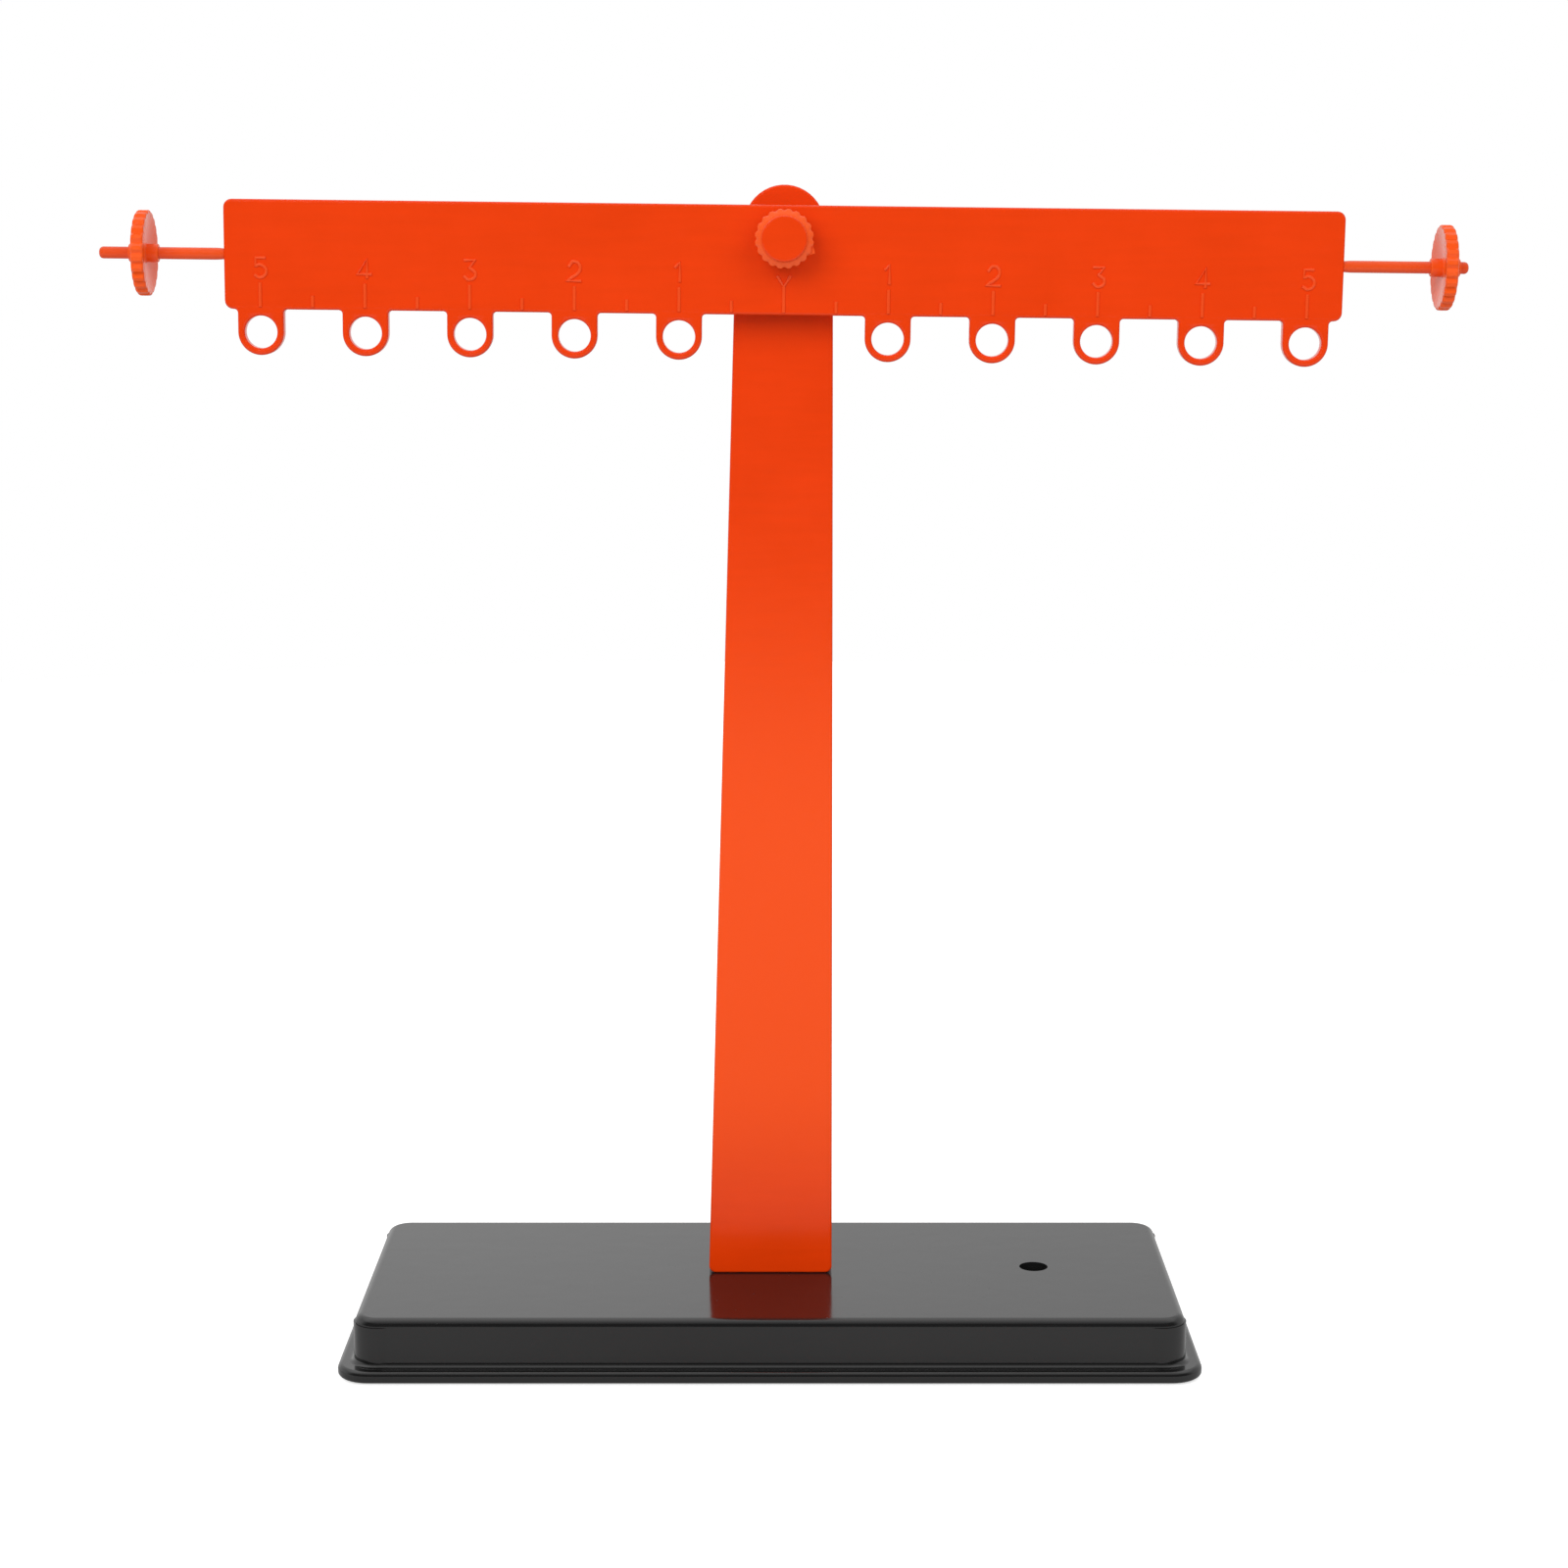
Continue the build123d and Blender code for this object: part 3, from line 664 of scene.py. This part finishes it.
class LEVERBALANCE_OT_stage(bpy.types.Operator):
    """Sets up the camera, the table top, the surroundings and the lamps"""

    bl_idname = "lever_balance.stage"
    bl_label = "Stage"

    def execute(self, context):
        studio = context.scene.lever_balance_studio
        self.camera(context, studio)
        self.table(context, studio)
        self.surroundings(context, studio)
        middle = (construction_box[0] + construction_box[1]) / 2
        for name in ("key", "fill", "back"):
            self.lamp(context, studio, name, middle)
        context.scene.view_settings.view_transform = "Standard"
        return {"FINISHED"}

    def camera(self, context, studio):
        data = bpy.data.cameras.new("camera")
        data.sensor_width = SENSOR_WIDTH
        data.lens = studio.lens
        made = bpy.data.objects.new("camera", data)
        made.location = studio.eye
        made.rotation_euler = (pi / 2 - studio.pitch, 0, 0)
        context.scene.collection.objects.link(made)
        context.scene.camera = made

    def table(self, context, studio):
        bm = bmesh.new()
        bmesh.ops.create_circle(bm, cap_ends=True, radius=studio.floor_radius, segments=TABLE_SEGMENTS)
        mesh = bpy.data.meshes.new("table_top")
        bm.to_mesh(mesh)
        bm.free()
        made = bpy.data.objects.new("table_top", mesh)
        context.scene.collection.objects.link(made)
        material, shader, place = new_finish("table_top")
        grain = noise(place, 30 * MM)
        grey = studio.floor_grey
        rays = place.node("ShaderNodeLightPath", {}, {})
        mirrored = sum_of_rays(rays, "Is Glossy Ray", "Is Transmission Ray") * studio.mirrored_glow
        seen = sum_of_rays(rays, "Is Camera Ray") + mirrored
        seen = seen * (1 - under(place, *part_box("base_tray"), studio.glow_inset))
        connect(
            shader,
            Base_Color=grain.tint((grey * 0.98,) * 3, (grey,) * 3),
            Roughness=0.9,
            Specular_IOR_Level=0.0,
            Emission_Color=seen.tint((0, 0, 0), (1, 1, 1)),
            Emission_Strength=studio.floor_glow,
        )
        mesh.materials.append(material)

    def surroundings(self, context, studio):
        world = bpy.data.worlds.new("surroundings")
        context.scene.world = world
        world.use_nodes = True
        world.cycles.sampling_method = "NONE"
        tree = world.node_tree
        way = Value(tree, tree.nodes.new("ShaderNodeTexCoord").outputs["Generated"])
        mirror = way.along("Y").between(*MIRROR_BACK) * (1 - studio.front_mirror) + studio.front_mirror
        mirror = mirror * (1 - way.along("X").between(*MIRROR_RIGHT) * studio.mirror_slope)
        mirror = mirror + way.along("Z").between(*MIRROR_TOP) * studio.top_glow
        rays = way.node("ShaderNodeLightPath", {}, {})
        seen = sum_of_rays(rays, "Is Camera Ray")
        mirrored = sum_of_rays(rays, "Is Glossy Ray", "Is Transmission Ray")
        lit = sum_of_rays(rays, "Is Diffuse Ray")
        strength = seen + mirrored * mirror + lit * studio.ambient
        tree.links.new(strength.socket, tree.nodes["Background"].inputs["Strength"])
        tree.nodes["Background"].inputs["Color"].default_value = (1, 1, 1, 1)

    def lamp(self, context, studio, name, middle):
        """A square lamp that looks at the object's middle."""
        data = bpy.data.lights.new(f"{name}_lamp", "AREA")
        data.shape = "SQUARE"
        data.size = getattr(studio, f"{name}_size")
        data.energy = getattr(studio, f"{name}_watts")
        turn = getattr(studio, f"{name}_turn")
        rise = getattr(studio, f"{name}_rise")
        away = Vector((sin(turn) * cos(rise), -cos(turn) * cos(rise), sin(rise)))
        made = bpy.data.objects.new(f"{name}_lamp", data)
        made.location = middle + away * getattr(studio, f"{name}_away")
        made.rotation_euler = away.to_track_quat("Z", "Y").to_euler()
        made.visible_glossy = False
        context.scene.collection.objects.link(made)


class LEVERBALANCE_OT_tray(bpy.types.Operator):
    """Finishes the tray and the pads under it"""

    bl_idname = "lever_balance.tray"
    bl_label = "Tray and Pads"

    def execute(self, context):
        colours = context.scene.lever_balance_colours
        dress(["base_tray"], black_finish(colours))
        pads = [node for node in frame["nodes"] if node.startswith("foot_")]
        dress(pads, rubber_finish(colours))
        return {"FINISHED"}


class LEVERBALANCE_OT_post(bpy.types.Operator):
    """Finishes the post, the screws that hold it and the axle in its head"""

    bl_idname = "lever_balance.post"
    bl_label = "Post and Fixings"

    def execute(self, context):
        colours = context.scene.lever_balance_colours
        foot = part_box("base_tray")[1].z
        # Painted light: the post's middle paler, as if more brightly lit, with plain orange at its foot and head.
        mask = painted_light_middle(foot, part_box("post")[1].z)
        finish = orange_finish(
            "post_orange_plastic", colours.orange, colours.orange_roughness, colours.painted_light_orange, mask
        )
        dress(["post"], finish)
        fixings = ["post_screws", "post_washers", "pivot_axle", "axle_head_washer", "axle_lock_nut",
                   "beam_rear_washer", "beam_front_washer"]
        dress(fixings, zinc_finish(colours))
        return {"FINISHED"}


class LEVERBALANCE_OT_beam(bpy.types.Operator):
    """Models the beam: the plate with its rings, the raised scale and the end rods"""

    bl_idname = "lever_balance.beam"
    bl_label = "Beam"

    def execute(self, context):
        sizes = context.scene.lever_balance_beam
        colours = context.scene.lever_balance_colours
        mount = MOUNTS["ring_right_1"]
        thickness = mount["dims"]["length_mm"] * MM
        middle = mount["pos_m"][1]
        face = middle - thickness / 2
        # Painted highlight: the raised marks paler, as if catching light.
        mask = painted_mark_highlight(face)
        finish = orange_finish(
            "beam_orange_plastic", colours.orange, colours.orange_roughness, colours.mark_highlight_orange, mask
        )
        plate = self.plate(context, sizes, thickness, mount["dims"]["r_mm"] * MM)
        plate.transform(beam_place() @ Matrix.Translation((0, middle, 0)))
        mesh_piece("beam_plate", plate, "beam", "orange_plastic", finish, "beam")
        scale = self.scale(sizes)
        scale.transform(beam_place() @ Matrix.Translation((0, face, 0)))
        mesh_piece("beam_scale", scale, "beam", "orange_plastic", finish)
        # Painted highlight: the rods in a paler, whiter orange, as if lit by a soft highlight.
        paler = orange_finish("rod_orange_plastic", colours.rod_orange, colours.orange_roughness)
        self.rods(sizes, middle, thickness, paler)
        return {"FINISHED"}

    def outline(self, sizes, ring_hole):
        """The plate's outline and holes, as loose edges in X and Y."""
        rings = ring_centres()
        half_length = rings[-1][0] + sizes.end_margin
        low = -sizes.below_pivot
        bm = bmesh.new()
        corners = [
            (-half_length, low), (-half_length, sizes.above_pivot),
            (half_length, sizes.above_pivot), (half_length, low),
        ]
        plate = [bm.verts.new((x, y, 0)) for x, y in corners]
        in_order, roots, tips = list(plate), [], []
        for x, y in reversed(rings):
            bottom = y - sizes.ring_outer
            right, left = x + sizes.ring_outer, x - sizes.ring_outer
            places = ((right, low, 0), (right, bottom, 0), (left, bottom, 0), (left, low, 0))
            tab = [bm.verts.new(place) for place in places]
            in_order += tab
            roots += [tab[0], tab[3]]
            tips += tab[1:3]
        bm.faces.new(in_order)
        round_corners(bm, plate, sizes.corner, PLATE_CORNER_STEPS)
        round_corners(bm, roots, sizes.ring_root, RING_ROOT_STEPS)
        # A ring tab's two roundings stop just short of each other, and the rest between them is merged
        short_of_middle = SAME_POINT
        round_corners(bm, tips, sizes.ring_outer - short_of_middle, RING_TIP_STEPS)
        bmesh.ops.remove_doubles(bm, verts=bm.verts[:], dist=4 * short_of_middle)
        bmesh.ops.delete(bm, geom=bm.faces[:], context="FACES_ONLY")
        for x, y in rings:
            place = Matrix.Translation((x, y, 0))
            bmesh.ops.create_circle(bm, radius=ring_hole, segments=RING_HOLE_STEPS, matrix=place)
        bmesh.ops.create_circle(bm, radius=sizes.axle_hole, segments=AXLE_HOLE_STEPS)
        return bm

    def plate(self, context, sizes, thickness, ring_hole):
        """The outline as a flat curve with a thickness and rounded edges, made a mesh."""
        bm = self.outline(sizes, ring_hole)
        mesh = bpy.data.meshes.new("beam_outline")
        bm.to_mesh(mesh)
        bm.free()
        outline = bpy.data.objects.new("beam_outline", mesh)
        context.scene.collection.objects.link(outline)
        for other in context.selected_objects:
            other.select_set(False)
        context.view_layer.objects.active = outline
        outline.select_set(True)
        bpy.ops.object.convert(target="CURVE")
        flat = outline.data
        flat.dimensions = "2D"
        flat.fill_mode = "BOTH"
        flat.bevel_depth = sizes.edge_round
        flat.bevel_resolution = EDGE_ROUND_STEPS
        flat.offset = -sizes.edge_round
        flat.extrude = thickness / 2 - sizes.edge_round
        evaluated = outline.evaluated_get(context.evaluated_depsgraph_get())
        plate = bpy.data.meshes.new_from_object(evaluated)
        bpy.data.objects.remove(outline)
        bm = bmesh.new()
        bm.from_mesh(plate)
        bmesh.ops.remove_doubles(bm, verts=bm.verts[:], dist=SAME_POINT)
        bmesh.ops.rotate(bm, cent=(0, 0, 0), matrix=Matrix.Rotation(pi / 2, 3, "X"), verts=bm.verts[:])
        bmesh.ops.recalc_face_normals(bm, faces=bm.faces[:])
        bm.to_mesh(plate)
        bm.free()
        return plate

    def scale(self, sizes):
        """The numerals, lines and middle fork, as round ridges half sunk in the face."""
        curve = bpy.data.curves.new("beam_scale", "CURVE")
        curve.dimensions = "3D"
        curve.bevel_depth = sizes.stroke / 2
        curve.bevel_resolution = EDGE_ROUND_STEPS
        curve.use_fill_caps = True
        curve.resolution_u = STROKE_STEPS
        edge = -sizes.below_pivot + sizes.edge_round
        foot = edge + sizes.tick + sizes.numeral_gap
        rings = ring_centres()
        half_pitch = (rings[1][0] - rings[0][0]) / 2
        for index, (x, _) in enumerate(rings):
            stroke(curve, [(x, edge, False), (x, edge + sizes.tick, False)])
            inner = x - half_pitch if x > 0 else x + half_pitch
            stroke(curve, [(inner, edge, False), (inner, edge + sizes.half_tick, False)])
            number = RINGS_PER_SIDE - index if x < 0 else index - RINGS_PER_SIDE + 1
            for points in NUMERAL_SHARES[number]:
                stroke(curve, [
                    (x + across * sizes.numeral_width, foot + up * sizes.numeral_height, smooth)
                    for across, up, smooth in points
                ])
        fork = edge + sizes.fork_stem
        arm = (sizes.fork_arm * sin(sizes.fork_lean), fork + sizes.fork_arm * cos(sizes.fork_lean))
        stroke(curve, [(0, edge, False), (0, fork, False)])
        stroke(curve, [(-arm[0], arm[1], False), (0, fork, False), (arm[0], arm[1], False)])
        holder = bpy.data.objects.new("beam_scale", curve)
        bpy.context.scene.collection.objects.link(holder)
        evaluated = holder.evaluated_get(bpy.context.evaluated_depsgraph_get())
        scale = bpy.data.meshes.new_from_object(evaluated)
        bpy.data.objects.remove(holder)
        scale.transform(Matrix.Diagonal((1, sizes.relief / (sizes.stroke / 2), 1, 1)))
        return scale

    def rods(self, sizes, middle, thickness, finish):
        """The two end rods with their flared roots."""
        tip = level_box("beam")[1].x
        half_length = ring_centres()[-1][0] + sizes.end_margin
        drop = (sizes.above_pivot - sizes.below_pivot) / 2
        root = half_length - sizes.edge_round
        corners = [
            (half_length - sizes.rod_sunk, 0, 0),
            (half_length - sizes.rod_sunk, thickness / 2 - sizes.edge_round, 0),
            (root, thickness / 2 - sizes.edge_round, 0),
            (half_length + sizes.rod_root, sizes.rod_radius, sizes.rod_root / 2),
            (tip, sizes.rod_radius, sizes.rod_tip),
            (tip, 0, 0),
        ]
        for side, turn in (("left", pi), ("right", 0)):
            bm = turned(corners, ROD_STEPS)
            place = beam_place() @ Matrix.Translation((0, middle, drop)) @ Matrix.Rotation(turn, 4, "Z")
            bmesh.ops.transform(bm, matrix=place, verts=bm.verts[:])
            piece(f"{side}_end_rod", bm, "beam", "orange_plastic", finish)


def stroke(curve, points):
    """Adds a stroke in X and Z to a curve: straight to a corner, and round through a smooth point."""
    spline = curve.splines.new("BEZIER")
    spline.bezier_points.add(len(points) - 1)
    for knot, (x, z, smooth) in zip(spline.bezier_points, points):
        knot.co = (x, 0, z)
        knot.handle_left_type = knot.handle_right_type = "AUTO" if smooth else "VECTOR"


class LEVERBALANCE_OT_knob(bpy.types.Operator):
    """Models the thumb knob in front of the pivot, and finishes the brass insert in it"""

    bl_idname = "lever_balance.knob"
    bl_label = "Thumb Knob"

    def execute(self, context):
        sizes = context.scene.lever_balance_knob
        colours = context.scene.lever_balance_colours
        low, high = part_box("thumb_knob")
        front = high.y - low.y
        radius = (high.z - low.z) / 2
        insert_low, insert_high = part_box("knob_insert")
        insert_radius = (insert_high.x - insert_low.x) / 2 + sizes.insert_gap
        insert_end = insert_high.y - insert_low.y
        rim_front = sizes.collar_length + sizes.rim_thickness
        band_share = sizes.tooth_band / sizes.rim_bevel
        corners = [
            (insert_end + sizes.axle_room, 0, 0),
            (insert_end + sizes.axle_room, sizes.axle_hole, 0),
            (insert_end, sizes.axle_hole, 0),
            (insert_end, insert_radius, 0),
            (0, insert_radius, 0),
            (0, sizes.collar_radius, sizes.small_round),
            (sizes.collar_length, sizes.collar_radius, sizes.small_round),
            (sizes.collar_length, radius, sizes.rim_back_round),
            (rim_front - sizes.rim_slope, radius, sizes.small_round),
            (rim_front - sizes.rim_slope * (1 - band_share), radius - sizes.tooth_band, 0),
            (rim_front, radius - sizes.rim_bevel, sizes.small_round / 2),
            (rim_front, sizes.cap_radius, sizes.small_round / 2),
            (front, sizes.cap_radius, sizes.cap_round),
            (front - sizes.cap_dish, 0, 0),
        ]
        bm = turned(corners, sizes.teeth * TOOTH_STEPS)
        serrate(bm, sizes.teeth, sizes.tooth_depth, sizes.tooth_band)
        self.gate(bm, sizes, radius)
        middle = (low.z + high.z) / 2
        place = Matrix.Translation((0, high.y, middle)) @ Matrix.Rotation(-pi / 2, 4, "Z")
        bmesh.ops.transform(bm, matrix=place, verts=bm.verts[:])
        # Painted sheen: the band and teeth outside the cap paler, as if catching light.
        mask = painted_rim_sheen((0, 0, middle), sizes.cap_radius - sizes.small_round)
        finish = orange_finish(
            "knob_orange_plastic", colours.orange, colours.orange_roughness, colours.tooth_sheen_orange, mask
        )
        piece("knob_moulding", bm, "knob", "orange_plastic", finish, "thumb_knob")
        dress(["knob_insert"], brass_finish(colours))
        return {"FINISHED"}

    def gate(self, bm, sizes, radius):
        """The flat pointed tag that the moulding gate left on the rim."""
        back = sizes.collar_length + (sizes.rim_thickness - sizes.gate_thickness) / 2
        root = radius - sizes.tooth_depth
        tip = radius + sizes.gate_reach
        sides = (
            (root, sizes.gate_top), (tip, sizes.gate_tip), (root, sizes.gate_bottom),
            (sizes.collar_radius, sizes.gate_tip),
        )
        corners = [bm.verts.new((back, reach * cos(turn), reach * sin(turn))) for reach, turn in sides]
        face = bm.faces.new(corners)
        made = bmesh.ops.extrude_face_region(bm, geom=[face], use_keep_orig=True)
        moved = [item for item in made["geom"] if isinstance(item, bmesh.types.BMVert)]
        bmesh.ops.translate(bm, vec=(sizes.gate_thickness, 0, 0), verts=moved)
        bmesh.ops.recalc_face_normals(bm, faces=bm.faces[:])


# The nut's disc bends at this share of its radius, where it has this share of its dish
NUT_BEND_SHARE = 1 / 2
NUT_BOW_SHARE = 1 / 4
NUT_BEND_ROUND_SHARE = 1 / 5


class LEVERBALANCE_OT_nuts(bpy.types.Operator):
    """Models the two dished balance nuts on the end rods"""

    bl_idname = "lever_balance.nuts"
    bl_label = "Balance Nuts"

    def execute(self, context):
        sizes = context.scene.lever_balance_nuts
        colours = context.scene.lever_balance_colours
        bore = context.scene.lever_balance_beam.rod_radius + sizes.bore_gap
        # Painted light: the nuts in a paler orange, as if more brightly lit.
        finish = orange_finish("nut_orange_plastic", colours.nut_orange, colours.orange_roughness)
        bow = sizes.dish * NUT_BOW_SHARE
        half = sizes.thickness / 2
        for side, turn in (("left", pi), ("right", 0)):
            node = f"{side}_balance_nut"
            low, high = level_box(node)
            radius = (high.z - low.z) / 2
            if side == "left":
                low.x, high.x = -high.x, -low.x
            bend = radius * NUT_BEND_SHARE
            bend_round = radius * NUT_BEND_ROUND_SHARE
            inner = -(high.x - low.x - sizes.hub_outer)
            corners = [
                (sizes.hub_outer, bore, 0),
                (sizes.hub_outer, sizes.hub_radius, sizes.hub_edge),
                (half, sizes.hub_radius, sizes.hub_root),
                (half - bow, bend, bend_round),
                (half - sizes.dish, radius, sizes.rim_round),
                (-half - sizes.dish, radius, sizes.rim_round),
                (-half - bow, bend, bend_round),
                (-half, sizes.hub_radius, sizes.hub_root),
                (inner, sizes.hub_radius, sizes.hub_edge),
                (inner, bore, 0),
            ]
            bm = turned(corners, sizes.teeth * TOOTH_STEPS)
            serrate(bm, sizes.teeth, sizes.tooth_depth, sizes.tooth_band)
            along = high.x - sizes.hub_outer
            middle = (low + high) / 2
            place = Matrix.Translation((0, middle.y, middle.z)) @ Matrix.Rotation(turn, 4, "Z")
            place = beam_place() @ place @ Matrix.Translation((along, 0, 0))
            bmesh.ops.transform(bm, matrix=place, verts=bm.verts[:])
            piece(f"{side}_nut_moulding", bm, f"{side}_nut", "orange_plastic", finish, node)
        return {"FINISHED"}


GROUPS = {
    "lever_balance_beam": LeverBalanceBeamSizes,
    "lever_balance_knob": LeverBalanceKnobSizes,
    "lever_balance_nuts": LeverBalanceNutSizes,
    "lever_balance_colours": LeverBalanceColours,
    "lever_balance_studio": LeverBalanceStudio,
}
OPERATORS = (
    LEVERBALANCE_OT_stage,
    LEVERBALANCE_OT_tray,
    LEVERBALANCE_OT_post,
    LEVERBALANCE_OT_beam,
    LEVERBALANCE_OT_knob,
    LEVERBALANCE_OT_nuts,
)


class LEVERBALANCE_PT_panel(bpy.types.Panel):
    """Sizes, colours and pieces of the lever balance"""

    bl_idname = "LEVERBALANCE_PT_panel"
    bl_label = "Lever Balance"
    bl_space_type = "VIEW_3D"
    bl_region_type = "UI"
    bl_category = "Lever Balance"

    def draw(self, context):
        for group in GROUPS:
            box = self.layout.box()
            settings = getattr(context.scene, group)
            for name in settings.__annotations__:
                box.prop(settings, name)
        for operator in OPERATORS:
            self.layout.operator(operator.bl_idname)


def register():
    """Registers the settings, the operators and the panel."""
    for name, group in GROUPS.items():
        bpy.utils.register_class(group)
        setattr(bpy.types.Scene, name, bpy.props.PointerProperty(type=group))
    for kind in (*OPERATORS, LEVERBALANCE_PT_panel):
        bpy.utils.register_class(kind)


def unregister():
    """Takes them away again."""
    for kind in (LEVERBALANCE_PT_panel, *reversed(OPERATORS)):
        bpy.utils.unregister_class(kind)
    for name, group in GROUPS.items():
        delattr(bpy.types.Scene, name)
        bpy.utils.unregister_class(group)


def main():
    """Makes everything in order."""
    register()
    bpy.ops.lever_balance.stage()
    bpy.ops.lever_balance.tray()
    bpy.ops.lever_balance.post()
    bpy.ops.lever_balance.beam()
    bpy.ops.lever_balance.knob()
    bpy.ops.lever_balance.nuts()


if __name__ == "__main__":
    main()
